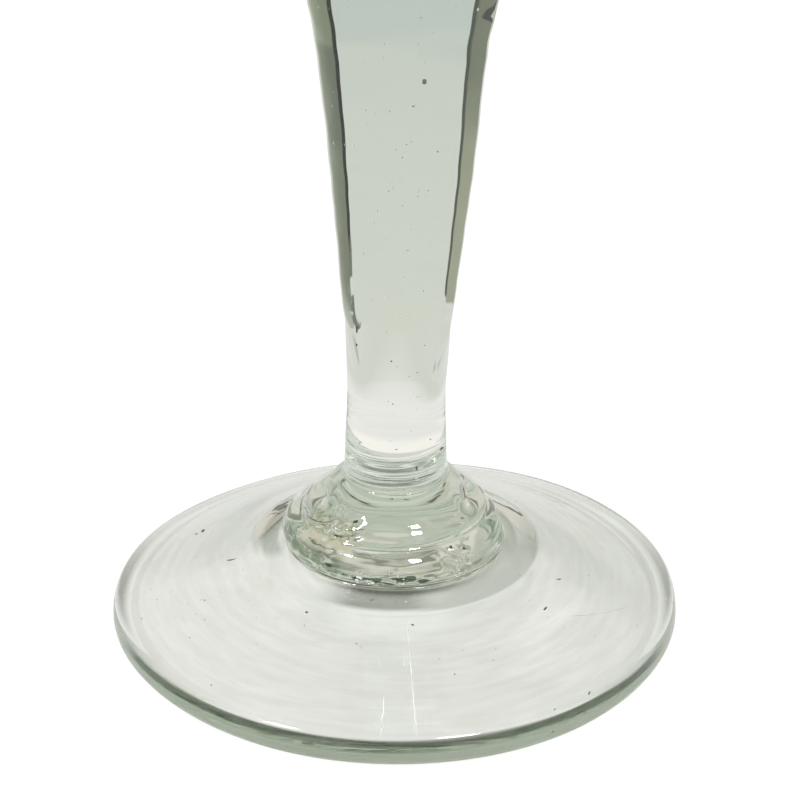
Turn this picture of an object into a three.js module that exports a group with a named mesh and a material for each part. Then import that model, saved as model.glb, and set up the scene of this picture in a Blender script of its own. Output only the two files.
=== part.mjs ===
// A stemmed drinking glass, made by hand in clear glass with a faint grey-green tint.
// A low conical foot carries two tooled collars and a small knop. A short neck joins
// the knop to a solid stem with moulded sides, four broad and four narrow, which
// swells upwards to a shoulder, and the shoulder carries a round funnel bowl.
// Lengths are millimetres, +Z is up, and the origin is the middle of the foot on the
// surface that it stands on. The stem and the bowl lean a little towards +X.

import * as THREE from 'three';

// Foot
const footRadius = 40;
const rimHeight = 4.5;
const rimTopInset = 1.2;
const restInset = 1.4;
const restWidth = 2;
const hollowHeight = 8.4;
const hollowShares = [[0.38, 0], [0.7, 0.6]];
const rimWidestShare = 0.42;
const rimLowShares = [[0.7, 0], [1, 0.4]];
const rimHighShares = [[0, 0.6], [0.3, 0.9]];
const slopeShares = [[0.26, 0.19], [0.72, 0.68]];
const moatRadius = 20.2;
const moatHeight = 11.6;
const moatShares = [[0.3, 0.12], [0.78, 0.34]];
const footHeight = 12.7;

// Collars and knop, from the foot upwards
const lowerCollarRadius = 15.2;
const lowerCollarHeight = 4.4;
const lowerCollarShares = [[-0.33, 0.39], [0.1, 0.89]];
const upperCollarRadius = 13.1;
const upperCollarHeight = 2.4;
const upperCollarShares = [[0, 0.6], [0.54, 0.92]];
const knopRadius = 9.8;
const knopHeight = 3.4;
const knopShares = [[-0.23, 0.3], [0.45, 0.72]];
const creaseDepth = 0.25;

// Neck between the knop and the stem
const neckRadius = 7.4;
const neckHeight = 5.1;
const neckShares = [[0.75, 0.2], [1, 0.6]];

// Stem: a round rod, a straight taper, a swelling to the shoulder and a cap above it
const stemBaseRadius = 7;
const rodWaistRadius = 6.75;
const rodWaistHeight = 8;
const rodShares = [[0.5, 0.33], [1, 0.66]];
const taperStartHalfWidth = 7.15;
const rodLength = 19.5;
const taperEndHalfWidth = 10.89;
const taperLength = 39.5;
const swellShares = [[0.2, 0.3], [0.81, 0.61]];
const shoulderHalfWidth = 12.7;
const swellLength = 11.5;
const capShares = [[0, 0.47], [0.94, 0.63]];
const capLength = 9;

// Moulded sides of the stem, four broad flats with narrow facets at their corners. They
// grow out of the round rod, and the shares give the facets' distance from the axis
const flatStart = 6;
const flatGrowthLength = 17;
const lowCornerFacetShare = 1.3;
const highCornerFacetShare = 1.24;

// Bowl
const bowlBaseRadius = 8.6;
const bowlRimRadius = 34;
const bowlHeight = 71.5;
const bowlFloor = 7;
const lipWall = 1.6;
const lipRounding = 0.6;
const lipShares = [[0, 0.6], [0.4, 1]];
const bowlOuterShares = [[0.6, 0.13], [0.98, 0.385]];
const bowlInnerShares = [[0.03, 0.65], [0.27, 0.98]];

// Sideways shift of the stem and the bowl for each millimetre of height
const leanShare = 0.011;

// Sides of every turned form, and steps along a long, a middling and a short curve
const sides = 48;
const longSteps = 9;
const middleSteps = 6;
const shortSteps = 3;

// Heights of the joints, each pieced together from the pieces below it
const lowerCollarBase = footHeight;
const upperCollarBase = lowerCollarBase + lowerCollarHeight;
const knopBase = upperCollarBase + upperCollarHeight;
const neckBase = knopBase + knopHeight;
const stemBase = neckBase + neckHeight;
const stemLength = rodLength + taperLength + swellLength + capLength;
const bowlBase = stemBase + stemLength;

// A corner of an outline, as a distance from the axis and a height.
function corner(radius, height) {
  return new THREE.Vector2(radius, height);
}

// Points on a smooth curve between two corners. Its two handles are shares of the way
// across and the way up from the first corner to the second.
function bow(from, to, shares, steps) {
  const handles = shares.map(([across, up]) => corner(
    THREE.MathUtils.lerp(from.x, to.x, across),
    THREE.MathUtils.lerp(from.y, to.y, up),
  ));
  return new THREE.CubicBezierCurve(from, ...handles, to).getPoints(steps);
}

// Joins stretches of points into one outline, without the repeated corners.
function joined(...stretches) {
  const points = stretches.flat();
  return points.filter((point, index) => index === 0 || !point.equals(points[index - 1]));
}

// An outline turned about the axis, with the axis upright.
function turned(outline) {
  return new THREE.LatheGeometry(outline, sides).rotateX(Math.PI / 2);
}

// Leans a form towards +X: each point shifts sideways by a share of its height.
function leaned(geometry) {
  const shear = new THREE.Matrix4().set(
    1, 0, leanShare, 0,
    0, 1, 0, 0,
    0, 0, 1, 0,
    0, 0, 0, 1,
  );
  return geometry.applyMatrix4(shear);
}

// A named piece of clear glass standing at a height.
function glassPiece(name, geometry, height, colour) {
  const material = new THREE.MeshStandardMaterial({
    color: colour,
    roughness: 0.03,
    metalness: 0,
    transparent: true,
    opacity: 0.4,
  });
  const mesh = new THREE.Mesh(geometry, material);
  mesh.name = name;
  mesh.position.z = height;
  return mesh;
}

// The foot: hollow underneath, standing on a flat ring, with a thick rounded rim. Its
// top slopes up to a shallow dish round the collars and ends in a flat disc.
function makeFoot() {
  const restOuter = corner(footRadius - restInset, 0);
  const restInner = corner(restOuter.x - restWidth, 0);
  const hollowTop = corner(0, hollowHeight);
  const rimWidest = corner(footRadius, rimHeight * rimWidestShare);
  const rimTop = corner(footRadius - rimTopInset, rimHeight);
  const moatEdge = corner(moatRadius, moatHeight);
  const topEdge = corner(lowerCollarRadius, footHeight);
  const outline = joined(
    bow(hollowTop, restInner, hollowShares, middleSteps),
    bow(restOuter, rimWidest, rimLowShares, shortSteps),
    bow(rimWidest, rimTop, rimHighShares, shortSteps),
    bow(rimTop, moatEdge, slopeShares, middleSteps),
    bow(moatEdge, topEdge, moatShares, shortSteps),
    [corner(0, footHeight)],
  );
  return glassPiece('foot', turned(outline), 0, 0xdfe4dc);
}

// A solid turned piece with a flat base, one bowed side and a flat top.
function makeCollar(name, baseRadius, topRadius, height, shares, base) {
  const side = bow(corner(baseRadius, 0), corner(topRadius, height), shares, middleSteps);
  const outline = joined([corner(0, 0)], side, [corner(0, height)]);
  return glassPiece(name, turned(outline), base, 0xcbd5c8);
}

// Radius of the stem at an angle, as a share of its half width across the flats. It
// blends from a circle to the lesser of a broad flat and a narrow corner facet, and back
// to the circle at the top of the cap.
function stemSectionShare(height, angle) {
  const { smoothstep, lerp, clamp } = THREE.MathUtils;
  const quarter = Math.PI / 2;
  const offFlat = Math.abs(angle - quarter * Math.round(angle / quarter));
  const shoulder = stemLength - capLength;
  const growth = smoothstep(height, flatStart, flatStart + flatGrowthLength)
    * (1 - smoothstep(height, shoulder, stemLength));
  const climb = clamp((height - flatStart) / (shoulder - flatStart), 0, 1);
  const cornerFacet = lerp(lowCornerFacetShare, highCornerFacetShare, climb);
  const flatForm = Math.min(1 / Math.cos(offFlat), cornerFacet / Math.cos(quarter / 2 - offFlat));
  return lerp(1, flatForm, growth);
}

// The stem: its outline is turned, then each point moves in or out to the sides.
function makeStem() {
  const shoulderHeight = rodLength + taperLength + swellLength;
  const base = corner(stemBaseRadius, 0);
  const waist = corner(rodWaistRadius, rodWaistHeight);
  const taperStart = corner(taperStartHalfWidth, rodLength);
  const taperEnd = corner(taperEndHalfWidth, rodLength + taperLength);
  const shoulder = corner(shoulderHalfWidth, shoulderHeight);
  const top = corner(bowlBaseRadius, stemLength);
  const outline = joined(
    [corner(0, 0)],
    bow(base, waist, rodShares, shortSteps),
    bow(waist, taperStart, rodShares, longSteps),
    new THREE.LineCurve(taperStart, taperEnd).getSpacedPoints(longSteps),
    bow(taperEnd, shoulder, swellShares, shortSteps),
    bow(shoulder, top, capShares, middleSteps),
    [corner(0, stemLength)],
  );
  const geometry = turned(outline);
  const place = geometry.getAttribute('position');
  for (let i = 0; i < place.count; i += 1) {
    const angle = Math.atan2(place.getY(i), place.getX(i));
    const share = stemSectionShare(place.getZ(i), angle);
    place.setXY(i, place.getX(i) * share, place.getY(i) * share);
  }
  return glassPiece('stem', leaned(geometry), stemBase, 0xd3dbd0);
}

// The bowl: a round funnel with a thick floor, a thinning wall and a rounded lip.
function makeBowl() {
  const lipBase = bowlHeight - lipRounding;
  const base = corner(bowlBaseRadius, 0);
  const outerLip = corner(bowlRimRadius, lipBase);
  const lipTop = corner(bowlRimRadius - lipWall / 2, bowlHeight);
  const innerLip = corner(bowlRimRadius - lipWall, lipBase);
  const floor = corner(0, bowlFloor);
  const outline = joined(
    [corner(0, 0)],
    bow(base, outerLip, bowlOuterShares, longSteps),
    bow(outerLip, lipTop, lipShares, shortSteps),
    bow(innerLip, lipTop, lipShares, shortSteps).reverse(),
    bow(innerLip, floor, bowlInnerShares, longSteps),
  );
  const bowl = glassPiece('bowl', leaned(turned(outline)), bowlBase, 0xe3e8e1);
  bowl.position.x = leanShare * stemLength;
  return bowl;
}

const goblet = new THREE.Group();
goblet.add(
  makeFoot(),
  makeCollar(
    'lower_collar', lowerCollarRadius, upperCollarRadius,
    lowerCollarHeight, lowerCollarShares, lowerCollarBase,
  ),
  makeCollar(
    'upper_collar', upperCollarRadius - creaseDepth, knopRadius,
    upperCollarHeight, upperCollarShares, upperCollarBase,
  ),
  makeCollar('knop', knopRadius - creaseDepth, neckRadius, knopHeight, knopShares, knopBase),
  makeCollar('neck', neckRadius, stemBaseRadius, neckHeight, neckShares, neckBase),
  makeStem(),
  makeBowl(),
);

export default goblet;
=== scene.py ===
"""A stemmed drinking glass: hand-made clear glass, dressed around its solid model."""

import math

import bpy
import numpy as np
from mathutils import Matrix, Vector


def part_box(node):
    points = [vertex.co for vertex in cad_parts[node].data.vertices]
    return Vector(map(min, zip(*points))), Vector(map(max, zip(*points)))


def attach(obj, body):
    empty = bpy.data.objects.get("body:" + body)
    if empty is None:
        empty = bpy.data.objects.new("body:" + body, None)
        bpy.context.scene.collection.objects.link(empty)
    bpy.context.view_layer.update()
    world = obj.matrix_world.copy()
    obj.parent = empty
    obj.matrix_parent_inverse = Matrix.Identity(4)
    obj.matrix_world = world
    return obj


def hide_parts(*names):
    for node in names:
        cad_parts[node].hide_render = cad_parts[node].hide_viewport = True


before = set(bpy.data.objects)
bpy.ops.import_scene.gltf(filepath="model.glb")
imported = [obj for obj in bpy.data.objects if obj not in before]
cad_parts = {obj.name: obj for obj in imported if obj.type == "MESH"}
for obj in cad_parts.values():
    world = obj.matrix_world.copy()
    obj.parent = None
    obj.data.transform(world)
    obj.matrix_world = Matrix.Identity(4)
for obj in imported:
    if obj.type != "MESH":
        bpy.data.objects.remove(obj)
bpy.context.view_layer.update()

MM = 0.001


def top_of(node):
    """Height of a solid's top in millimetres."""
    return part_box(node)[1].z / MM


def half_width(node):
    """Half of a solid's width from front to back in millimetres."""
    low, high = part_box(node)
    return (high.y - low.y) / 2 / MM


# Sizes in millimetres that the solids show
FOOT_RADIUS = half_width("foot")
FOOT_TOP = top_of("foot")
LOWER_COLLAR_TOP = top_of("lower_collar")
UPPER_COLLAR_TOP = top_of("upper_collar")
KNOP_TOP = top_of("knop")
NECK_TOP = top_of("neck")
STEM_TOP = top_of("stem")
GLASS_TOP = top_of("bowl")
SHOULDER_HALF_WIDTH = half_width("stem")
BOWL_RADIUS = half_width("bowl")
BOWL_CENTRE_X = (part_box("bowl")[0].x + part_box("bowl")[1].x) / 2 / MM

# Foot, in millimetres. Its rim stands high at the right and low at the back left, and
# its lower edge turns up at both sides of the front
RIM_HEIGHT = 4.5
RIM_TOP_INSET = 1.2
REST_INSET = 1.4
REST_WIDTH = 2.0
HOLLOW_HEIGHT = 8.4
MOAT_RADIUS = 20.2
MOAT_HEIGHT = 11.6
RIM_RISE = 0.8
RIM_FALL = 0.7
EDGE_LIFT = 0.55

# Collars, knop and neck, in millimetres. The collars stand a little off centre
LOWER_COLLAR_RADIUS = 15.2
UPPER_COLLAR_RADIUS = 13.1
KNOP_RADIUS = 9.8
CREASE_DEPTH = 0.25
NECK_RADIUS = 7.4
COLLAR_SHIFT = 0.5

# Stem, in millimetres
STEM_BASE_RADIUS = 7.0
ROD_WAIST_RADIUS = 6.75
ROD_WAIST_HEIGHT = 8.0
TAPER_START_HALF_WIDTH = 7.15
ROD_LENGTH = 19.5
TAPER_END_HALF_WIDTH = 10.89
TAPER_LENGTH = 39.5
SWELL_LENGTH = 11.5
FLAT_START = 6.0
FLAT_GROWTH = 17.0
STEM_LENGTH = STEM_TOP - NECK_TOP
SHOULDER_HEIGHT = ROD_LENGTH + TAPER_LENGTH + SWELL_LENGTH

# Corner facets of the stem: their distance from the axis as a share of the half width
# across the broad flats, sharper at the back than in front, and more so low in front
BACK_FACET_SHARE = 1.36
FRONT_FACET_SHARE = 1.24
LOW_FACET_GAIN_SHARE = 0.06
RIDGE_ROUNDING_SHARE = 0.02
FACET_FLATNESS = 0.6

# Twist of the stem's sides: degrees at most, and in millimetres a height above the stem's
# base where there is none and the length of half a wave of it
TWIST = 1.2
TWIST_START = 22
TWIST_HALF_WAVE = 34

# Bowl, in millimetres
BOWL_BASE_RADIUS = 8.6
BOWL_FLOOR = 7.0
LIP_WALL = 1.6
LIP_ROUNDING = 0.6
LEAN_SHARE = BOWL_CENTRE_X / (GLASS_TOP - LIP_ROUNDING - NECK_TOP)

# Dented spots of the collars: degrees round the axis and height, how far they spread both
# ways, their depth, and the seed, waves round the axis and pitch of their ripples
FOLD = ((228, 18.3), (15, 1.3), 0.3, 3, 50, 1.6)
BRUISE = ((306, 15.6), (8, 1.1), 0.3, 4, 70, 1.2)
NICKS = ((266, 13.6), (20, 0.6), 0.16, 5, 45, 1.0)

# Grooves round the front of the neck: height, depth and width in millimetres
GROOVES = ((NECK_TOP - 0.2, 0.2, 0.25), (25.0, 0.12, 0.24), (23.7, 0.14, 0.2))

# Steps round the axis, a whole number of which lands on every ridge of the stem, the
# ridge's angle from the middle of a broad flat in degrees, and rows along the foot
TURN_STEPS = 240
RIDGE_TURN = 37.5
HOLLOW_ROWS = 44
REST_ROWS = 3
SLOPE_ROWS = 34
MOAT_ROWS = 12


def srgb(code):
    """A hex colour as linear RGBA."""
    parts = np.array([int(code[i:i + 2], 16) for i in (1, 3, 5)]) / 255
    linear = np.where(parts <= 0.04045, parts / 12.92, ((parts + 0.055) / 1.055) ** 2.4)
    return (*linear.tolist(), 1.0)


def smooth_step(value, start, end):
    """0 before start, 1 after end, and 3t^2 - 2t^3 between them."""
    t = np.clip((value - start) / (end - start), 0, 1)
    return t * t * (3 - 2 * t)


def between(value, start, end, edge):
    """1 from start to end, fading to 0 over an edge outside them."""
    return smooth_step(value, start - edge, start) * (1 - smooth_step(value, end, end + edge))


def hump(value, centre, width):
    """A bell of height 1: exp(-d^2), with d the distance from the centre in widths."""
    return np.exp(-((value - centre) / width) ** 2)


def round_hump(turn, centre, width):
    """The same bell round the axis, in degrees."""
    return hump((turn - centre + 180) % 360 - 180, 0, width)


def ripple(angle, along, seed, turns, pitch):
    """A wandering value, mostly between -1 and 1: half the sum of six sines, each with a
    whole number of waves round the axis, up to turns, and a pitch near the one given."""
    chance = np.random.default_rng(seed)
    total = 0
    for _ in range(6):
        waves = chance.integers(-turns, turns + 1)
        phase = along / (pitch * chance.uniform(0.7, 1.6)) + chance.random()
        total = total + np.sin(waves * angle + 2 * np.pi * phase)
    return total / 2


def dent(angle, height, place, spread, depth, seed, turns, pitch):
    """A rippled spot: depth times a bell round its place and height times a ripple."""
    bell = round_hump(np.degrees(angle), place[0], spread[0]) * hump(height, place[1], spread[1])
    return depth * bell * ripple(angle, height, seed, turns, pitch)


def bow(start, end, shares, steps):
    """Points on a cubic Bezier from start to end, without the last one. Its two handles
    are shares of the way across and the way up from start to end."""
    start, end = np.array(start, float), np.array(end, float)
    first, second = (start + (end - start) * np.array(share) for share in shares)
    t = (np.arange(steps) / steps)[:, None]
    return ((1 - t) ** 3 * start + 3 * (1 - t) ** 2 * t * first
            + 3 * (1 - t) * t ** 2 * second + t ** 3 * end)


def straight(start, end, steps):
    """Points on a line from start to end, without the last one."""
    t = (np.arange(steps) / steps)[:, None]
    return (1 - t) * np.array(start, float) + t * np.array(end, float)


def foot_outline():
    """Radius and height along the foot, from the middle underneath, over the rim, to the
    collars."""
    rest_outer = (FOOT_RADIUS - REST_INSET, 0)
    rest_inner = (rest_outer[0] - REST_WIDTH, 0)
    rim_widest = (FOOT_RADIUS, RIM_HEIGHT * 0.42)
    rim_top = (FOOT_RADIUS - RIM_TOP_INSET, RIM_HEIGHT)
    moat_edge = (MOAT_RADIUS, MOAT_HEIGHT)
    top_edge = (LOWER_COLLAR_RADIUS, FOOT_TOP)
    return np.concatenate([
        bow((0, HOLLOW_HEIGHT), rest_inner, [(0.38, 0), (0.7, 0.6)], HOLLOW_ROWS),
        straight(rest_inner, rest_outer, REST_ROWS),
        bow(rest_outer, rim_widest, [(0.7, 0), (1, 0.4)], 9),
        bow(rim_widest, rim_top, [(0, 0.6), (0.3, 0.9)], 10),
        bow(rim_top, moat_edge, [(0.26, 0.19), (0.72, 0.68)], SLOPE_ROWS),
        bow(moat_edge, top_edge, [(0.3, 0.12), (0.78, 0.34)], MOAT_ROWS),
    ])


def collar_outline(smeared):
    """Radius and height up the collars, the knop and the neck. Where they are smeared into
    each other, one dome takes the place of the upper collar, its crease and the knop."""
    lower_base = (LOWER_COLLAR_RADIUS, FOOT_TOP)
    lower_top = (UPPER_COLLAR_RADIUS, LOWER_COLLAR_TOP)
    upper_base = (UPPER_COLLAR_RADIUS - CREASE_DEPTH, LOWER_COLLAR_TOP + CREASE_DEPTH)
    upper_top = (KNOP_RADIUS, UPPER_COLLAR_TOP)
    knop_base = (KNOP_RADIUS - CREASE_DEPTH, UPPER_COLLAR_TOP + CREASE_DEPTH)
    knop_top = (NECK_RADIUS, KNOP_TOP)
    neck_top = (STEM_BASE_RADIUS, NECK_TOP)
    stepped = [
        bow(upper_base, upper_top, [(0, 0.6), (0.54, 0.92)], 16),
        straight(upper_top, knop_base, 3),
        bow(knop_base, knop_top, [(-0.23, 0.3), (0.45, 0.72)], 18),
    ]
    dome = [bow(upper_base, knop_top, [(0.05, 0.3), (0.62, 0.69)], 37)]
    return np.concatenate([
        bow(lower_base, lower_top, [(-0.33, 0.39), (0.1, 0.89)], 26),
        straight(lower_top, upper_base, 3),
        *(dome if smeared else stepped),
        bow(knop_top, neck_top, [(0.75, 0.2), (1, 0.6)], 30),
    ])


def stem_outline():
    """Half width across the flats and height up the stem."""
    base = (STEM_BASE_RADIUS, NECK_TOP)
    waist = (ROD_WAIST_RADIUS, NECK_TOP + ROD_WAIST_HEIGHT)
    taper_start = (TAPER_START_HALF_WIDTH, NECK_TOP + ROD_LENGTH)
    taper_end = (TAPER_END_HALF_WIDTH, taper_start[1] + TAPER_LENGTH)
    shoulder = (SHOULDER_HALF_WIDTH, NECK_TOP + SHOULDER_HEIGHT)
    top = (BOWL_BASE_RADIUS, STEM_TOP)
    return np.concatenate([
        bow(base, waist, [(0.5, 0.33), (1, 0.66)], 24),
        bow(waist, taper_start, [(0.5, 0.33), (1, 0.66)], 28),
        straight(taper_start, taper_end, 30),
        bow(taper_end, shoulder, [(0.2, 0.3), (0.81, 0.61)], 12),
        bow(shoulder, top, [(0, 0.47), (0.94, 0.63)], 18),
    ])


def bowl_outline():
    """Radius and height up the outside of the bowl, over its lip and down the inside."""
    lip_base = GLASS_TOP - LIP_ROUNDING
    outer_lip = (BOWL_RADIUS, lip_base)
    lip_top = (BOWL_RADIUS - LIP_WALL / 2, GLASS_TOP)
    inner_lip = (BOWL_RADIUS - LIP_WALL, lip_base)
    floor = (0, STEM_TOP + BOWL_FLOOR)
    return np.concatenate([
        bow((BOWL_BASE_RADIUS, STEM_TOP), outer_lip, [(0.6, 0.13), (0.98, 0.385)], 30),
        bow(outer_lip, lip_top, [(0, 0.6), (0.4, 1)], 4),
        bow(lip_top, inner_lip, [(0.6, 0), (1, 0.4)], 4),
        bow(inner_lip, floor, [(0.03, 0.65), (0.27, 0.98)], 26),
        [floor],
    ])


def glass_outline(smeared):
    """Radius and height along the whole glass, from underneath to the bowl's floor."""
    parts = [foot_outline(), collar_outline(smeared), stem_outline(), bowl_outline()]
    return np.concatenate(parts)


def stem_section(angle, height):
    """Angles and radius shares of the stem's section at a height above its base. The flat
    form is the lesser of a broad flat, 1 / cos(a) at an angle a from its middle, and a
    slightly convex corner facet, f / cos(45 - a)^0.6, with a rounded ridge between them.
    It grows out of the round rod, 1 + g (flat form - 1), and fades back to it in the cap.
    Each quarter's angles are stretched so that the same step stays on the ridge, and the
    whole section sways a little round the axis on its way up."""
    quarter, ridge = np.pi / 2, np.radians(RIDGE_TURN)
    climb = np.clip((height - FLAT_START) / (SHOULDER_HEIGHT - FLAT_START), 0, 1)
    front_facet = FRONT_FACET_SHARE + LOW_FACET_GAIN_SHARE * (1 - climb) ** 1.5
    facet = np.where(np.sin(angle) > 0, BACK_FACET_SHARE, front_facet)
    start = FLAT_START - 1.5 * np.cos(angle)
    growth = smooth_step(height, start, start + FLAT_GROWTH)
    growth = growth * (1 - smooth_step(height, SHOULDER_HEIGHT, STEM_LENGTH))
    centre = quarter * np.round(angle / quarter)
    off = np.abs(angle - centre)
    facet_ridge = np.arctan(math.sqrt(2) * facet - 1)
    inner = off * facet_ridge / ridge
    outer = facet_ridge + (off - ridge) * (quarter / 2 - facet_ridge) / (quarter / 2 - ridge)
    side = off + growth * (np.where(off < ridge, inner, outer) - off)
    broad, narrow = 1 / np.cos(side), facet / np.cos(quarter / 2 - side) ** FACET_FLATNESS
    blend = np.clip(0.5 + (narrow - broad) / 2 / RIDGE_ROUNDING_SHARE, 0, 1)
    rounding = RIDGE_ROUNDING_SHARE * blend * (1 - blend)
    flat_form = narrow + (broad - narrow) * blend - rounding
    sway = TWIST * np.sin(np.pi * (height - TWIST_START) / TWIST_HALF_WAVE)
    twist = growth * np.radians(sway + 0.25 * ripple(0, height, 12, 0, 6))
    return centre + np.sign(angle - centre) * side + twist, 1 + growth * (flat_form - 1)


def tooled_radius(radius, angle, height):
    """The outside as the tools left it: uneven collars with a folded scar at the left, a
    bruise at the right and nicks low in front, a neck with grooves round its front where
    the hot thread was wound on, and slow waves up the stem."""
    soft_edge = 0.8
    on_collars = between(height, FOOT_TOP + 0.6, KNOP_TOP - 1.5, soft_edge)
    on_neck = between(height, KNOP_TOP + 0.4, NECK_TOP + 0.6, soft_edge)
    on_lower = 1 - 0.8 * smooth_step(height, UPPER_COLLAR_TOP - 0.6, UPPER_COLLAR_TOP + 0.6)
    slow, quick = ripple(angle, height, 1, 3, 7), ripple(angle, height, 2, 2, 1.3)
    uneven = on_lower * (0.06 * slow + 0.02 * quick)
    for spot in (FOLD, BRUISE, NICKS):
        uneven = uneven + dent(angle, height, *spot)
    in_front = smooth_step(-np.sin(angle), -0.1, 0.4)
    thread = 0.02 * in_front * ripple(angle, height, 6, 2, 1.4)
    tilt = 0.22 * np.cos(angle + 2.4)
    for groove, depth, width in GROOVES:
        thread = thread - in_front * depth * hump(height + tilt, groove, width)
    stem_waves = 0.0035 * radius * ripple(angle, height, 7, 2, 24)
    stem_waves = stem_waves * smooth_step(height, NECK_TOP, NECK_TOP + 12)
    return radius + on_collars * uneven + on_neck * thread + stem_waves


def uneven_foot(radius, angle, height, under):
    """The foot as it was spun: a rim that is thick at the right and thin at the back left,
    with its lower edge turned up at both sides of the front, shallow waves on top, an
    edge that is not quite round, and a pontil scar underneath."""
    turn = np.degrees(angle)
    rim = smooth_step(height, 0.4, RIM_HEIGHT) * smooth_step(radius, 25, 37) * ~under
    thick = RIM_RISE * round_hump(turn, 25, 30) - RIM_FALL * round_hump(turn, 120, 40)
    rise = rim * (thick + 0.09 * ripple(angle, 0 * height, 8, 7, 1))
    beside = round_hump(turn, -150, 32) + round_hump(turn, -22, 26)
    low_edge = smooth_step(radius, 38.3, 39.6) * (1 - smooth_step(height, 1.2, 3.2))
    rise = rise + EDGE_LIFT * beside * low_edge
    waves = 0.07 * ripple(angle, radius, 9, 3, 15) * between(radius, 24, 34, 3) * ~under
    scar = (1 - smooth_step(radius, 7, 10)) * smooth_step(radius, 0, 1.5) * under
    rough = scar * (0.03 * ripple(angle, radius, 10, 5, 3.4) - 0.12 * hump(radius, 7.5, 1.5))
    out_of_round = 0.0022 * (1 + ripple(angle, 0 * height, 11, 4, 1))
    edge = 1 - out_of_round * smooth_step(radius, 30, 38)
    on_foot = height < FOOT_TOP
    return np.where(on_foot, radius * edge, radius), height + on_foot * (rise + waves + rough)


def glass_rows():
    """Points of the whole glass as rows round the axis, in metres: the outline is turned,
    given the stem's sides and the marks of the hand, and shifted sideways with its
    height above the neck. The collars sit a little off centre on the foot, and the upper
    one is smeared into the knop in front."""
    outline = glass_outline(False)
    change = glass_outline(True) - outline
    angle = np.arange(TURN_STEPS) * 2 * np.pi / TURN_STEPS + 0 * outline[:, :1]
    in_front = smooth_step(-np.sin(angle), 0.15, 0.6)
    radius, height = (outline[:, i:i + 1] + in_front * change[:, i:i + 1] for i in (0, 1))
    row = np.arange(len(outline))[:, None] + 0 * angle
    below_bowl = (row <= np.argmax(outline[:, 1])) & (height < STEM_TOP)
    above = height - NECK_TOP
    on_stem = below_bowl & (above > 0)
    side, share = stem_section(angle, above)
    angle = np.where(on_stem, side, angle)
    radius = np.where(on_stem, radius * share, radius)
    radius = np.where(below_bowl, tooled_radius(radius, angle, height), radius)
    radius, height = uneven_foot(radius, angle, height, row < HOLLOW_ROWS + REST_ROWS)
    shift = LEAN_SHARE * np.maximum(above, 0) - COLLAR_SHIFT * between(height, 14.5, 16.5, 2)
    place = [radius * np.cos(angle) + shift, radius * np.sin(angle), height]
    return np.stack(place, -1) * MM


def closed_skin(rows):
    """Vertices and faces of a skin over rows of points round the axis. The first and the
    last row are single points, closed by fans, and quads join each row to the next."""
    count = rows.shape[1]
    body = rows[1:-1].reshape(-1, 3)
    points = np.concatenate([rows[:1, 0], body, rows[-1:, 0]])
    ring = np.arange(count)
    after = (ring + 1) % count
    row_start = 1 + count * np.arange(len(rows) - 3)[:, None]
    low, low_after = row_start + ring, row_start + after
    quads = np.stack([low, low_after, low_after + count, low + count], -1).reshape(-1, 4)
    last = len(points) - 1
    top = last - count
    fans = [(0, 1 + b, 1 + a) for a, b in zip(ring, after)]
    fans += [(last, top + a, top + b) for a, b in zip(ring, after)]
    return points, quads.tolist() + fans


def add_mesh(name, points, faces, material):
    """A smooth mesh object with its place in its mesh."""
    mesh = bpy.data.meshes.new(name)
    mesh.from_pydata(np.asarray(points).tolist(), [], faces)
    mesh.polygons.foreach_set("use_smooth", np.ones(len(mesh.polygons), bool))
    mesh.materials.append(material)
    mesh.update()
    piece = bpy.data.objects.new(name, mesh)
    bpy.context.scene.collection.objects.link(piece)
    return piece


def node(tree, kind, settings=(), links=()):
    """A shader node with its settings and incoming links. A setting goes to the node's
    own attribute, or else to its input of that name or number. A link comes from a
    socket, and a hex colour in its place is set on the input itself."""
    made = tree.nodes.new(kind)
    for key, value in dict(settings).items():
        if isinstance(key, str) and hasattr(made, key):
            setattr(made, key, value)
        else:
            made.inputs[key].default_value = value
    for key, source in dict(links).items():
        if isinstance(source, str):
            made.inputs[key].default_value = srgb(source)
        else:
            tree.links.new(source, made.inputs[key])
    return made


def new_material(name):
    """A material with its tree, its output node and the place on the piece in millimetres."""
    material = bpy.data.materials.new(name)
    material.use_nodes = True
    tree = material.node_tree
    tree.nodes.clear()
    output = node(tree, "ShaderNodeOutputMaterial")
    metres = node(tree, "ShaderNodeTexCoord").outputs["Object"]
    place = node(tree, "ShaderNodeVectorMath", {"operation": "SCALE", "Scale": 1 / MM}, {0: metres})
    return material, tree, output, place.outputs["Vector"]


def layered(tree, first, layers):
    """A colour with others laid over it, each with its own share. A colour is a hex code
    or a socket."""
    result = first
    for share, colour in layers:
        result = node(tree, "ShaderNodeMix", {"data_type": "RGBA"}, {
            "Factor": share, "A": result, "B": colour,
        }).outputs["Result"]
    return result


def stepped_colour(tree, value, first, steps):
    """A colour that changes along a value: first, then each step's colour, with a soft
    edge between the step's start and its end."""
    layers = []
    for start, end, colour in steps:
        share = node(tree, "ShaderNodeMapRange", {
            "interpolation_type": "SMOOTHSTEP", "From Min": start, "From Max": end,
        }, {"Value": value})
        layers.append((share.outputs["Result"], colour))
    return layered(tree, first, layers)


def part_mask(tree, values, limits):
    """1 where every named value lies between its low and high limits, with soft edges
    outside them: the product of a rise and a fall for each value."""
    total = None
    for name, (low, high, edge) in limits.items():
        for start, end, first in ((low - edge, low, 0.0), (high, high + edge, 1.0)):
            share = node(tree, "ShaderNodeMapRange", {
                "interpolation_type": "SMOOTHSTEP", "From Min": start, "From Max": end,
                "To Min": first, "To Max": 1.0 - first,
            }, {"Value": values[name]}).outputs["Result"]
            if total is None:
                total = share
            else:
                product = node(tree, "ShaderNodeMath", {"operation": "MULTIPLY"}, {0: total, 1: share})
                total = product.outputs["Value"]
    return total


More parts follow.
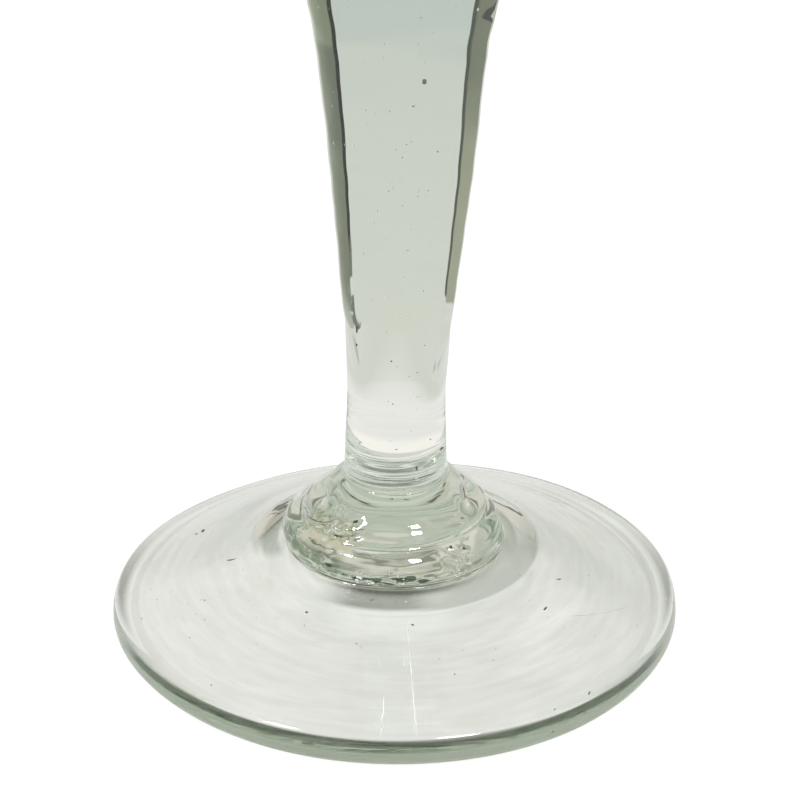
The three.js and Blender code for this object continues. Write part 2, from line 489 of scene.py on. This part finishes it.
def pattern(tree, place, gaps, detail=2.0):
    """Noise whose waves lie the given gaps apart along each axis, in the place's unit."""
    stretched = node(tree, "ShaderNodeVectorMath", {
        "operation": "MULTIPLY", 1: [1 / gap for gap in gaps],
    }, {0: place})
    return node(tree, "ShaderNodeTexNoise", {"Scale": 1.0, "Detail": detail}, {
        "Vector": stretched.outputs["Vector"],
    }).outputs["Fac"]


def relief(tree, place, gaps, depth, mask=None):
    """A noise pattern as a height in metres: gaps between the waves along each axis, depth
    as the whole height of the waves in millimetres, and a mask for one part of the glass."""
    waves = node(tree, "ShaderNodeMath", {"operation": "MULTIPLY", 1: depth * MM}, {
        0: pattern(tree, place, gaps),
    })
    if mask is not None:
        waves = node(tree, "ShaderNodeMath", {"operation": "MULTIPLY"}, {0: waves.outputs["Value"], 1: mask})
    return waves.outputs["Value"]


# Parts of the glass that its material treats apart, each bounded by low, high and soft
# edge: height and radius in millimetres, and degrees round the axis, with -90 in front
ON_NECK = {"height": (23.5, 28.5, 1), "turn": (-165, -15, 10)}
ON_COLLARS = {"height": (13, 18, 1)}
ON_FOOT = {"radius": (19.5, 37, 3)}
ON_EDGE = {"radius": (38.9, 40.5, 0.4)}
IN_DISH = {"height": (10.8, 13.1, 0.3)}
IN_FOLD = {"turn": (-154, -120, 8), "height": (16.6, 19.2, 0.8)}
IN_BRUISE = {"turn": (-56, -42, 5), "height": (13.4, 15.6, 0.6)}
ON_RESTING_RING = {"height": (-1, 0.3, 0.2)}
IN_SCAR = {"radius": (-1, 7, 3), "height": (6, 9.5, 1)}

# Waves of the skin: which place they follow, the gaps between them in millimetres (and in
# degrees round the edge), their depth in millimetres, and the part that has them. Threads
# and rings finer than these don't show from here, so they are drawn this coarse
SKIN_WAVES = [
    ("solid", (9.09, 9.09, 16.7), 0.03, None),
    ("solid", (1.43, 1.43, 2), 0.002, None),
    ("solid", (20, 20, 0.909), 0.012, ON_NECK),
    ("solid", (16.7, 16.7, 1.25), 0.02, ON_COLLARS),
    ("spun", (1.67, 1, 1), 0.012, ON_FOOT),
    ("edge", (20, 0.667, 1), 0.01, ON_EDGE),
    ("solid", (1.11, 1.11, 0.667), 0.05, IN_FOLD),
    ("solid", (0.667, 0.667, 0.667), 0.04, IN_BRUISE),
]

# Colours in the skin, as a colour and where each lies: faint swirls on the foot, painted
# shade of the collars on the dish in front of them, paler at its right, with painted shade
# lines beside it, a broken painted dark line under the top of the rim, a darker mottled
# patch low at the left, and the fold's dirt
FILMS_AND_PAINTED_SHADE = [
    ("#fafaf8", {**ON_FOOT, "swirl": (0.56, 1, 0.14)}),
    # Painted shade of the collars on the dish: darkest in front, paler at the right, and painted shade lines
    # at its sides
    ("#7b7d75", {"radius": (15.7, 19, 1.2), **IN_DISH, "turn": (-106, -76, 22)}),
    ("#babdb4", {"radius": (15.7, 19.9, 0.5), **IN_DISH, "turn": (-70, -8, 16)}),
    ("#aaada2", {"radius": (16.9, 18.4, 0.9), **IN_DISH, "turn": (150, 181, 10)}),
    ("#aaada2", {"radius": (16.9, 18.4, 0.9), **IN_DISH, "turn": (-181, -170, 12)}),
    ("#aaada2", {"radius": (15.8, 16.8, 0.7), **IN_DISH, "turn": (-8, 24, 14)}),
    # Painted shade: a broken dark line under the top of the rim
    ("#6d706c", {"radius": (39.1, 40.2, 0.3), "height": (3.1, 3.8, 0.3),
                 "turn": (-150, -30, 12), "blotch": (0.3, 1, 0.12)}),
    ("#8b9483", {"turn": (-166, -122, 8), "height": (13.1, 15.8, 0.6), "crinkle": (0.5, 1, 0.1)}),
    ("#ddd8bd", {**IN_FOLD, "crinkle": (0.5, 1, 0.12)}),
]


def soda_glass():
    """Hand-made soda-lime glass, blown and tooled. Its fire-polished faces show hard
    reflections and wander a little. Threads of the winding lie round the neck and the
    collars, spinning marks lie round the foot, and the fold and the bruise are crinkled.
    The iron in the melt turns thick places grey-green, and a film of dirt dulls the fold.
    Painted shade darkens the dish in front of the collars and a line under the top of the
    rim. Only the ring that it stands on and the pontil scar are rough."""
    material, tree, output, place = new_material("fire_polished_soda_glass")
    axes = node(tree, "ShaderNodeSeparateXYZ", {}, {"Vector": place}).outputs
    flat_place = node(tree, "ShaderNodeVectorMath", {"operation": "MULTIPLY", 1: (1, 1, 0)}, {0: place})
    radius = node(tree, "ShaderNodeVectorMath", {"operation": "LENGTH"}, {
        0: flat_place.outputs["Vector"],
    }).outputs["Value"]
    radians = node(tree, "ShaderNodeMath", {"operation": "ARCTAN2"}, {0: axes["Y"], 1: axes["X"]})
    turn = node(tree, "ShaderNodeMath", {"operation": "DEGREES"}, {
        0: radians.outputs["Value"],
    }).outputs["Value"]
    spun = node(tree, "ShaderNodeCombineXYZ", {}, {"X": radius}).outputs["Vector"]
    edge = node(tree, "ShaderNodeCombineXYZ", {}, {"X": turn, "Y": axes["Z"]}).outputs["Vector"]
    swirl = node(tree, "ShaderNodeCombineXYZ", {}, {"X": radius, "Y": turn}).outputs["Vector"]
    values = {
        "height": axes["Z"],
        "radius": radius,
        "turn": turn,
        "blotch": pattern(tree, place, (2.86, 2.86, 2.86), 3.0),
        "crinkle": pattern(tree, place, (1.43, 1.43, 0.625), 4.0),
        "swirl": pattern(tree, swirl, (1.11, 20, 1), 3.0),
    }

    places = {"solid": place, "spun": spun, "edge": edge}
    skin = None
    for follows, gaps, depth, part in SKIN_WAVES:
        mask = part and part_mask(tree, values, part)
        wave = relief(tree, places[follows], gaps, depth, mask)
        if skin is None:
            skin = wave
        else:
            skin = node(tree, "ShaderNodeMath", {"operation": "ADD"}, {0: skin, 1: wave}).outputs["Value"]
    bump = node(tree, "ShaderNodeBump", {"Strength": 1.0, "Distance": 1.0}, {"Height": skin})

    worn = node(tree, "ShaderNodeMath", {"operation": "MULTIPLY", 1: 0.35}, {
        0: part_mask(tree, values, ON_RESTING_RING),
    })
    matt = node(tree, "ShaderNodeMath", {"operation": "MULTIPLY_ADD", 1: 0.12}, {
        0: part_mask(tree, values, IN_SCAR), 2: worn.outputs["Value"],
    })
    films_and_shade = [(part_mask(tree, values, limits), colour) for colour, limits in FILMS_AND_PAINTED_SHADE]
    glass = node(tree, "ShaderNodeBsdfPrincipled", {"IOR": 1.52, "Transmission Weight": 1.0}, {
        "Base Color": layered(tree, "#ffffff", films_and_shade),
        "Roughness": matt.outputs["Value"], "Normal": bump.outputs["Normal"],
    })
    melt = node(tree, "ShaderNodeVolumeAbsorption", {"Color": srgb("#b9cdb4"), "Density": 16.0})
    tree.links.new(glass.outputs["BSDF"], output.inputs["Surface"])
    tree.links.new(melt.outputs["Volume"], output.inputs["Volume"])
    return material


def air_bubble():
    """Seeds of air and gall in the glass: each bends the light so much more than the
    glass does that it shows as a tiny bright bead with a dark edge."""
    material, tree, output, place = new_material("air_bubble")
    skin = node(tree, "ShaderNodeBump", {"Distance": 1.0}, {
        "Height": relief(tree, place, (0.25, 0.25, 0.25), 0.02),
    })
    bead = node(tree, "ShaderNodeBsdfPrincipled", {
        "Base Color": srgb("#ffffff"), "Roughness": 0.0, "IOR": 2.2, "Transmission Weight": 1.0,
    }, {"Normal": skin.outputs["Normal"]})
    tree.links.new(bead.outputs["BSDF"], output.inputs["Surface"])
    return material


def mottled(name, gap, dark, light, edge, settings):
    """A material whose colour wanders between two tones in patches a gap in millimetres
    apart, with a soft edge between two values of the noise."""
    material, tree, output, place = new_material(name)
    tone = stepped_colour(tree, pattern(tree, place, (gap, gap, gap)), dark, [(*edge, light)])
    skin = node(tree, "ShaderNodeBsdfPrincipled", settings, {"Base Color": tone})
    tree.links.new(skin.outputs["BSDF"], output.inputs["Surface"])
    return material


def grit_and_painted_shade():
    """Specks of furnace brick, scale and old dirt, and dark threads of painted shade: dull and
    dark, a little browner here and there."""
    finish = {"Roughness": 0.75, "IOR": 1.5}
    return mottled("grit_and_painted_shade", 1.11, "#2e2f2a", "#5a5446", (0.4, 0.6), finish)


def green_speck_and_painted_shade():
    """Dark green mottled glass: painted shade in the cords low where the lower collar meets the foot, and
    the colour of a speck high in the stem.
    """
    finish = {"Roughness": 0.0, "IOR": 1.6, "Transmission Weight": 1.0}
    return mottled("green_speck_and_painted_shade", 1.43, "#3f6350", "#7f9a84", (0.35, 0.65), finish)


def pale_blisters_and_painted_highlights():
    """Whitish marks, a little rough and broken up along their length: painted reflections in
    streaks on the foot, painted glints low on the lower collar and in the dish, and blisters in the bruise
    and on the upper collar."""
    finish = {"Roughness": 0.25, "IOR": 1.5, "Transmission Weight": 0.35}
    return mottled("pale_blisters_and_painted_highlights", 2.38, "#dfe2db", "#fbfcfa", (0.4, 0.6), finish)


def grain(centre, size, turn=0.0, uneven=0.0, seed=0):
    """Points and faces of a small rounded grain: an ellipsoid with the half lengths of
    size, turned about the upright by turn degrees, with points moved in and out by up
    to the share uneven."""
    climb = np.linspace(-np.pi / 2, np.pi / 2, 9)[:, None]
    round_about = np.arange(12) * np.pi / 6 + 0 * climb
    across, ahead = np.cos(climb) * np.cos(round_about), np.cos(climb) * np.sin(round_about)
    unit = np.stack([across, ahead, np.sin(climb) + 0 * round_about], -1)
    dents = 1 + uneven * np.random.default_rng(seed).uniform(-1, 1, unit.shape[:2])[..., None]
    cos, sin = math.cos(math.radians(turn)), math.sin(math.radians(turn))
    swing = np.array([[cos, sin, 0], [-sin, cos, 0], [0, 0, 1]])
    return closed_skin(((unit * dents * size) @ swing + np.array(centre)) * MM)


def tube(path, width):
    """Points and faces of a thread along a path: eight points round each place of the
    path, with a half width of width times the fourth root of sin(pi t), 0 at both ends."""
    path = np.array(path, float)
    ahead = np.gradient(path, axis=0)
    ahead /= np.linalg.norm(ahead, axis=1)[:, None]
    aside = np.cross(ahead, (0, 0, 1))
    aside /= np.linalg.norm(aside, axis=1)[:, None]
    across = np.cross(ahead, aside)
    t = np.linspace(0, 1, len(path))
    half = width * np.abs(np.sin(np.pi * t)) ** 0.25 * (t * (1 - t) > 0)
    turn = (np.arange(8) * np.pi / 4)[None, :, None]
    ring = aside[:, None] * np.cos(turn) + across[:, None] * np.sin(turn)
    return closed_skin((path[:, None] + half[:, None, None] * ring) * MM)


def arc(radius, height, start, end, width, rise=0.0):
    """A thread along a circle round the axis, from a start to an end angle in degrees, that
    rises by rise towards its end and wavers a little."""
    turn = np.radians(np.linspace(start, end, 40))
    climb = height + rise * np.linspace(0, 1, 40) + 0.05 * ripple(turn, 0 * turn, 20, 24, 1)
    return tube(np.stack([radius * np.cos(turn), radius * np.sin(turn), climb], -1), width)


def at_turn(turn, radius, height):
    """A place at an angle in radians round the axis."""
    return [radius * math.cos(turn), radius * math.sin(turn), height]


def on_foot(turn, radius, sink=0.0):
    """A place on top of the foot, from degrees round the axis and a radius, sunk a little."""
    top = foot_outline()[-SLOPE_ROWS - MOAT_ROWS:][::-1]
    return at_turn(math.radians(turn), radius, np.interp(radius, top[:, 0], top[:, 1]) - sink)


def in_stem(turn, height, rod_reach, share=1.0):
    """A place in the stem, which leans: a share of the way out to rod_reach in the rod, or
    to just inside the broad flats where the stem widens above it."""
    taper_start, taper_reach, widening = 48, 6.6, 0.092
    reach = rod_reach if height < taper_start else taper_reach + widening * (height - taper_start)
    x, y, z = at_turn(turn, share * reach, height)
    return [x + LEAN_SHARE * (height - NECK_TOP), y, z]


def add_grains(name, grains, material):
    """One object of many closed grains and threads."""
    points, faces = [], []
    for grain_points, grain_faces in grains:
        faces += [tuple(i + len(points) for i in face) for face in grain_faces]
        points += grain_points.tolist()
    piece = add_mesh(name, points, faces, material)
    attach(piece, "root")


def make_glass():
    """The whole glass as one skin in place of its seven solids."""
    glass_body = add_mesh("glass_body", *closed_skin(glass_rows()), soda_glass())
    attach(glass_body, "root")
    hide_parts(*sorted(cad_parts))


def make_specks_and_shade_lines():
    """Dark specks and a scratch where the photograph shows them, on the foot, the collars, the
    neck and the stem, then finer specks scattered by chance, and dark threads of painted
    shade in the neck's grooves, round the foot of the lower collar, in the creases by the
    fold and at the knop's sides. Each mark is a place, half lengths in millimetres and a turn in degrees."""
    chance = np.random.default_rng(31)
    marks = [
        (on_foot(161.5, 29.4), (0.42, 0.22, 0.1), 70), (on_foot(162.5, 30.3), (0.3, 0.08, 0.05), 40),
        (on_foot(-170.9, 23.1), (0.75, 0.1, 0.08), 14), (on_foot(-122.5, 22.1), (0.16, 0.2, 0.08), 30),
        (on_foot(-19.3, 24.0), (0.36, 0.12, 0.08), 8), (on_foot(-9.3, 27.5), (0.12, 0.06, 0.05), 8),
        (on_foot(-36.0, 25.4), (0.5, 0.14, 0.1), 62), (on_foot(-83.7, 22.0), (0.22, 0.14, 0.06), 150),
        (on_foot(-74.6, 30.0), (0.12, 0.12, 0.08), 0), (on_foot(-162.5, 36.7), (0.1, 0.1, 0.06), 0),
        (on_foot(-146.6, 33.2), (0.1, 0.09, 0.06), 0), (on_foot(-157.1, 28.5), (0.14, 0.1, 0.06), 50),
        (on_foot(-149.4, 30.1), (0.09, 0.09, 0.06), 0), (on_foot(-130.9, 37.0), (0.11, 0.11, 0.06), 0),
        (on_foot(-101.6, 25.1), (0.1, 0.1, 0.06), 0), (on_foot(-48.0, 38.6), (0.09, 0.4, 0.12), -18),
        (on_foot(-57.1, 38.8), (0.07, 0.2, 0.1), -12), ((20.8, -33.6, 1.8), (0.2, 0.1, 0.1), 30),
        ((2.0, -9.85, 79.7), (0.18, 0.06, 0.07), 0),
        ((-5.2, -6.6, 47.2), (0.11, 0.1, 0.5), 0), ((-5.2, -6.1, 44.8), (0.12, 0.1, 0.2), 0),
        ((-0.6, -6.8, 42.7), (0.12, 0.1, 0.1), 0), ((-0.4, -6.5, 36.2), (0.09, 0.08, 0.08), 0),
        ((2.9, -6.9, 26.7), (0.15, 0.1, 0.3), 0), ((-5.3, -9.1, 19.4), (0.4, 0.22, 0.2), 30),
        ((-7.4, -10.2, 17.8), (0.45, 0.2, 0.12), -20), ((7.6, -11.2, 16.8), (0.22, 0.14, 0.2), 0),
        ((9.4, -10.5, 16.2), (0.26, 0.14, 0.18), 0), ((-0.5, -7.9, 22.4), (0.3, 0.08, 0.06), 0),
        ((1.6, -7.9, 22.3), (0.4, 0.07, 0.05), 0), ((-8.0, -9.8, 17.7), (0.4, 0.14, 0.1), -30),
        ((6.3, -2.8, 27.6), (0.5, 0.1, 0.13), 59), ((0.1, -6.9, 29.5), (0.16, 0.07, 0.05), 0),
        ((4.7, -5.0, 30.1), (0.13, 0.08, 0.07), 40),
    ]
    grains = [grain(place, size, turn, 0.25, seed) for seed, (place, size, turn) in enumerate(marks)]
    for seed in range(70):
        place = on_foot(chance.uniform(-180, 180), chance.uniform(19, 37.5))
        grains.append(grain(place, chance.uniform(0.03, 0.075, 3), chance.uniform(0, 180), 0.3, seed))
    for seed in range(36):
        height = chance.uniform(30, 92)
        place = in_stem(math.radians(chance.uniform(-125, -55)), height, 6.4)
        grains.append(grain(place, chance.uniform(0.03, 0.08, 3), 0, 0.3, seed))
    scratch = zip(np.linspace(-32.5, -15.1, 20), np.linspace(28.1, 33.7, 20))
    left_fold = bow((-12.4, -3.8, 17.7), (-7.7, -8.0, 19.2), [(0.3, 0.75, 0.3), (0.55, 1.05, 0.6)], 16)
    left_edge = bow((-7.8, -2.0, 22.4), (-9.3, -3.1, 19.5), [(0.4, 1.36, 0.38)] * 2, 12)
    right_edge = bow((9.3, -0.8, 21.0), (9.6, -3.3, 19.5), [(1.33, 0.56, 0.53)] * 2, 12)
    # Painted shade: dark threads in the neck's grooves, round the foot of the lower collar, in the creases
    # by the fold and at the knop's sides; only the scratch on the foot is wear
    shade_lines_and_scratch = [
        arc(7.12, 24.72, -118, -38, 0.045, 0.12),
        arc(7.05, 27.6, -112, -52, 0.025, -0.1),
        arc(15.25, 12.78, -136, -100, 0.07),
        arc(15.3, 12.8, -97, -62, 0.05),
        arc(15.2, 12.8, -60, -40, 0.07),
        tube(np.linspace((-7.0, -10.3, 17.9), (-5.2, -11.0, 18.4), 9), 0.05),
        tube(np.linspace((-6.5, -10.2, 18.7), (-3.9, -10.6, 19.15), 9), 0.05),
        tube([on_foot(turn, radius) for turn, radius in scratch], 0.012),
        tube(left_fold, 0.06),
        tube(left_edge, 0.05),
        tube(right_edge, 0.05),
    ]
    add_grains("specks_and_shade_lines", grains + shade_lines_and_scratch, grit_and_painted_shade())


def make_seeds():
    """Air bubbles: one in the neck and one in the dish, drawn-out ones in the stem, small
    ones in the foot, and clusters in the collars: one in the bruise, two low in front and
    one in the fold. A cluster is degrees round the axis, a height and a spread in degrees."""
    chance = np.random.default_rng(47)
    grains = [
        grain((2.9, -6.7, 24.9), (0.2, 0.14, 0.24)),
        grain((-3.1, -17.2, 11.85), (0.3, 0.16, 0.12), 40),
    ]
    for _ in range(44):
        height = chance.uniform(30, 95)
        turn, share = chance.uniform(0, 2 * np.pi), chance.uniform(0.2, 0.85)
        size = chance.uniform(0.03, 0.09)
        place = in_stem(turn, height, 6.6, share)
        grains.append(grain(place, (size, size, size * chance.uniform(1, 4))))
    for _ in range(60):
        size = chance.uniform(0.03, 0.08)
        place = on_foot(chance.uniform(-180, 180), chance.uniform(18, 37), chance.uniform(0.4, 1.6))
        grains.append(grain(place, (size * 1.6, size, size), chance.uniform(0, 180)))
    clusters = [(-49, 15.0, 7), (-90, 14.7, 4), (-107, 14.2, 5), (-132, 17.8, 12)]
    for turn, height, spread in clusters:
        for _ in range(11):
            at = math.radians(chance.normal(turn, spread * 0.6))
            size = chance.uniform(0.07, 0.22)
            place = at_turn(at, 14.5, chance.normal(height, 0.5))
            if height > LOWER_COLLAR_TOP:
                place = at_turn(at, 12.0, chance.normal(height, 0.4))
            grains.append(grain(place, (size * 1.5, size, size * 0.8), math.degrees(at) + 90, 0.2))
    add_grains("seeds", grains, air_bubble())


def make_shade_cords_and_speck():
    """Cords of painted shade low in the front of the lower collar, where it meets the foot,
    each given as degrees round the axis, a height and a half length, and a green speck high in the stem."""
    chance = np.random.default_rng(53)
    # Painted shade: dark green cords where the lower collar meets the foot
    dark_green_marks = [
        (-112, 13.3, 0.9), (-108, 13.6, 1.2), (-105, 13.4, 0.9), (-100, 13.7, 0.8),
        (-98, 13.3, 1.0), (-93, 13.2, 0.8), (-88, 13.9, 1.0), (-84, 13.6, 1.3),
        (-82, 14.0, 0.8), (-75, 13.3, 0.7), (-117, 13.7, 0.5), (-127, 14.3, 0.6),
    ]
    grains = []
    for turn, height, length in dark_green_marks:
        place = at_turn(math.radians(turn), 14.7, height)
        size = (length, 0.2, chance.uniform(0.1, 0.26))
        grains.append(grain(place, size, turn + 90, 0.35, -turn))
    grains.append(grain((3.4, -9.9, 83.0), (0.3, 0.2, 0.34), 20, 0.2))
    add_grains("dark_green_marks", grains, green_speck_and_painted_shade())


def make_painted_reflection_streaks(white):
    """Two pale streaks that run out over the front of the foot: painted reflections of the stem's edges."""
    chance = np.random.default_rng(59)
    paths = []
    for turn, reach, wander in ((-85.6, (20.8, 38.9), 0.12), (-92.3, (32.7, 39.0), 0.15)):
        radii = np.linspace(*reach, 60)
        sway = wander * np.sin(radii * 2.9) * smooth_step(radii, 33, 37) + chance.normal(0, 0.02, 60)
        path = [on_foot(turn + swing * 1.2, radius) for radius, swing in zip(radii, sway)]
        paths.append(tube(path, 0.07))
    add_grains("painted_reflection_streaks", paths, white)


def make_blisters_and_painted_glints(white):
    """Tiny whitish marks: blisters that broke open in the bruise and on the upper collar, and
    painted glints, one in the dish and two groups low on the front of the lower collar. A
    cluster is a count, degrees from and to, and heights from and to."""
    chance = np.random.default_rng(61)
    # A painted glint in the dish
    grains = [grain((1.5, -17.6, 11.9), (0.15, 0.12, 0.08))]
    # Of these groups, the second and the third are painted glints low on the front of the lower collar
    clusters = [
        (16, (-56, -42), (13.3, 15.3)), (9, (-110, -99), (13.2, 14.1)),
        (4, (-90, -82), (13.3, 14.6)), (6, (-141, -126), (17.3, 18.9)),
    ]
    for count, turns, heights in clusters:
        for _ in range(count):
            at, height = math.radians(chance.uniform(*turns)), chance.uniform(*heights)
            on_lower, on_upper = 15.55 - 0.35 * max(height - 13.7, 0), 13.0 - 0.7 * (height - 17)
            radius = on_lower if height < 16 else on_upper
            size = chance.uniform(0.05, 0.17)
            x, y, z = at_turn(at, radius, height)
            place = (x - COLLAR_SHIFT, y, z)
            grains.append(grain(place, (size * 1.8, size, size * 0.7), math.degrees(at) + 90, 0.3))
    add_grains("blisters_and_painted_glints", grains, white)


def side_angle(tree, place):
    """Degrees to the right of straight behind the glass, seen from its axis."""
    axes = node(tree, "ShaderNodeSeparateXYZ", {}, {"Vector": place}).outputs
    turn = node(tree, "ShaderNodeMath", {"operation": "ARCTAN2"}, {0: axes["X"], 1: axes["Y"]})
    return node(tree, "ShaderNodeMath", {"operation": "DEGREES"}, {
        0: turn.outputs["Value"],
    }).outputs["Value"]


def backdrop_light(tree, seen, light, mirrored):
    """The backdrop's colour: seen is what shows through the glass, mirrored what shows in
    reflections, light what lights other things, and the camera sees white."""
    paths = node(tree, "ShaderNodeLightPath").outputs
    return layered(tree, light, [
        (paths["Is Glossy Ray"], mirrored), (paths["Is Camera Ray"], "#ffffff"),
        (paths["Is Transmission Ray"], seen),
    ])


def make_floor():
    """White paper under the glass, with distances from the glass's middle in millimetres.
    Seen through the glass it is cloudy white under the foot, dull in a painted shadow of
    the collars and in a painted shadow ring where the foot's edge rests, and bright round
    the foot. Further back it is pale in the middle, with a dark line and a grey-green band
    towards either side. The paper glows for most of its white, and its matte share keeps the glass's shadow."""
    material, tree, output, place = new_material("white_paper")
    axes = node(tree, "ShaderNodeSeparateXYZ", {}, {"Vector": place}).outputs
    far = node(tree, "ShaderNodeVectorMath", {"operation": "LENGTH"}, {0: place}).outputs["Value"]
    from_shadow = node(tree, "ShaderNodeVectorMath", {
        "operation": "DISTANCE", 1: (1, 12.5, 0),
    }, {0: place}).outputs["Value"]
    back_edge = (152, 166)
    middle = stepped_colour(tree, far, "#dee0d8", [(250, 600, "#d0d7d3")])
    left_line = stepped_colour(tree, far, "#e2e3dd", [(180, 186, "#70766a"), (200, 210, "#0c0e09")])
    left_band = stepped_colour(tree, far, "#e2e3dd", [
        (172, 182, "#757c67"), (290, 340, "#696f5f"), (430, 500, "#80876f"),
    ])
    right_band = stepped_colour(tree, far, "#e2e3dd", [
        (170, 178, "#a0a48d"), (250, 450, "#767b67"), (2550, 2900, "#2a2f2b"),
    ])
    right_line = stepped_colour(tree, far, middle, [(178, 186, "#444a3f")])
    left_edge = stepped_colour(tree, far, "#b3b8a9", [(300, 380, "#a0a696"), (450, 600, "#b8bdad")])
    behind = stepped_colour(tree, side_angle(tree, place), "#e2e3dd", [
        (-35, -32, right_band), (-25, -21, right_line), (-9, -5, middle),
        (3, 6, left_line), (19, 24, left_band), (26, 31, left_edge), (32, 35, "#e2e3dd"),
    ])
    cloud = pattern(tree, place, (14.3, 14.3, 14.3), 3.0)
    under = stepped_colour(tree, axes["X"], "#ebece7", [(-30, 30, "#e4e5e0")])
    under = stepped_colour(tree, cloud, under, [(0.45, 0.8, "#f5f5f1")])
    under = stepped_colour(tree, far, "#f6f7f2", [(5, 10, under)])
    # Painted shadow of the collars on the paper, seen only through the glass
    under = stepped_colour(tree, from_shadow, "#92948c", [(4, 14, under)])
    # Painted shadow ring where the foot's edge rests, darkest in front
    ring = stepped_colour(tree, axes["Y"], "#9b9d95", [(0, 20, "#dfe1da")])
    seen = stepped_colour(tree, far, under, [
        (36.6, 38.4, ring), (38.8, 40, "#fffaf4"), (49, 56, "#ebe9e5"), (70, 115, "#ced0c5"),
        (*back_edge, behind),
    ])
    colour = backdrop_light(tree, seen, "#f2f2f2", "#dadad8")
    glow = node(tree, "ShaderNodeEmission", {"Strength": 0.94}, {"Color": colour})
    through = node(tree, "ShaderNodeLightPath").outputs["Is Transmission Ray"]
    fading = stepped_colour(tree, far, "#505050", [(*back_edge, "#000000")])
    matte = node(tree, "ShaderNodeBsdfDiffuse", {}, {
        "Color": layered(tree, "#505050", [(through, fading)]),
    })
    both = node(tree, "ShaderNodeAddShader", {}, {0: glow.outputs["Emission"], 1: matte.outputs["BSDF"]})
    tree.links.new(both.outputs["Shader"], output.inputs["Surface"])
    reach = 4.0
    corners = [(-reach, -reach, 0), (reach, -reach, 0), (reach, reach, 0), (-reach, reach, 0)]
    floor = add_mesh("floor", corners, [(0, 1, 2, 3)], material)


def make_world():
    """A white studio. Through the glass its back wall is pale near the table, dark in a
    strip above that, then pale again and grey overhead. It is duller to the left, a
    little duller to the right of the middle, and bright at both sides."""
    world = bpy.data.worlds.new("studio")
    bpy.context.scene.world = world
    world.use_nodes = True
    tree = world.node_tree
    tree.nodes.clear()
    output = node(tree, "ShaderNodeOutputWorld")
    place = node(tree, "ShaderNodeTexCoord").outputs["Generated"]
    climb = node(tree, "ShaderNodeSeparateXYZ", {}, {"Vector": place}).outputs["Z"]
    strip, overhead = (0.2, 0.26, "#777f6d"), (0.72, 0.82, "#85887a")
    wall = stepped_colour(tree, climb, "#e0d9cd", [strip, (0.36, 0.47, "#ece7dc"), overhead])
    dim_wall = stepped_colour(tree, climb, "#b5b7ab", [strip, (0.4, 0.54, "#cdccc2"), overhead])
    grey_wall = stepped_colour(tree, climb, "#c3c6b9", [strip, (0.4, 0.54, "#dad9cf"), overhead])
    seen = stepped_colour(tree, side_angle(tree, place), "#f4f4f0", [
        (-66, -56, dim_wall), (-32, -24, wall), (12, 18, grey_wall), (36, 44, wall), (56, 66, "#f4f4f0"),
    ])
    colour = backdrop_light(tree, seen, "#ffffff", "#dadad8")
    light = node(tree, "ShaderNodeBackground", {"Strength": 1.0}, {"Color": colour})
    tree.links.new(light.outputs["Background"], output.inputs["Surface"])


def make_lamp(name, place):
    """A square soft box 12 cm across, placed in metres, that points at the foot of the
    stem."""
    lamp = bpy.data.lights.new(name, "AREA")
    lamp.size = 0.12
    lamp.energy = 2.2
    holder = bpy.data.objects.new(name, lamp)
    holder.location = place
    aim = Vector((0, 0, 0.03)) - Vector(place)
    holder.rotation_euler = aim.to_track_quat("-Z", "Y").to_euler()
    bpy.context.scene.collection.objects.link(holder)


def make_camera():
    """The camera of the photograph: 25.9 degrees down, close in, with a long lens. It aims
    past the middle of the glass by across and down, in metres."""
    pitch, roll = math.radians(25.9), math.radians(-0.33)
    distance, across, down = 0.372, -0.00056, -0.03024
    frame_pixels, focal_pixels = 800, 2600
    right = Vector((1, 0, 0))
    up = Vector((0, math.sin(pitch), math.cos(pitch)))
    ahead = Vector((0, math.cos(pitch), -math.sin(pitch)))
    lens = bpy.data.cameras.new("camera")
    lens.sensor_width = 36
    lens.lens = focal_pixels / frame_pixels * lens.sensor_width
    holder = bpy.data.objects.new("camera", lens)
    turn = Matrix((right, up, -ahead)).transposed() @ Matrix.Rotation(-roll, 3, "Z")
    place = -ahead * distance - right * across - up * down
    holder.matrix_world = Matrix.Translation(place) @ turn.to_4x4()
    bpy.context.scene.collection.objects.link(holder)
    bpy.context.scene.camera = holder


make_glass()
make_specks_and_shade_lines()
make_seeds()
make_shade_cords_and_speck()
white = pale_blisters_and_painted_highlights()
make_painted_reflection_streaks(white)
make_blisters_and_painted_glints(white)
make_floor()
make_world()
make_lamp("left_lamp", (-0.39, -0.22, 0.62))
make_lamp("right_lamp", (0.24, -0.34, 0.62))
make_camera()

# Bounces enough for light to pass the skin of the glass and the grains in it
scene = bpy.context.scene
scene.view_settings.view_transform = "Standard"
scene.cycles.max_bounces = 24
scene.cycles.glossy_bounces = 24
scene.cycles.transmission_bounces = 24
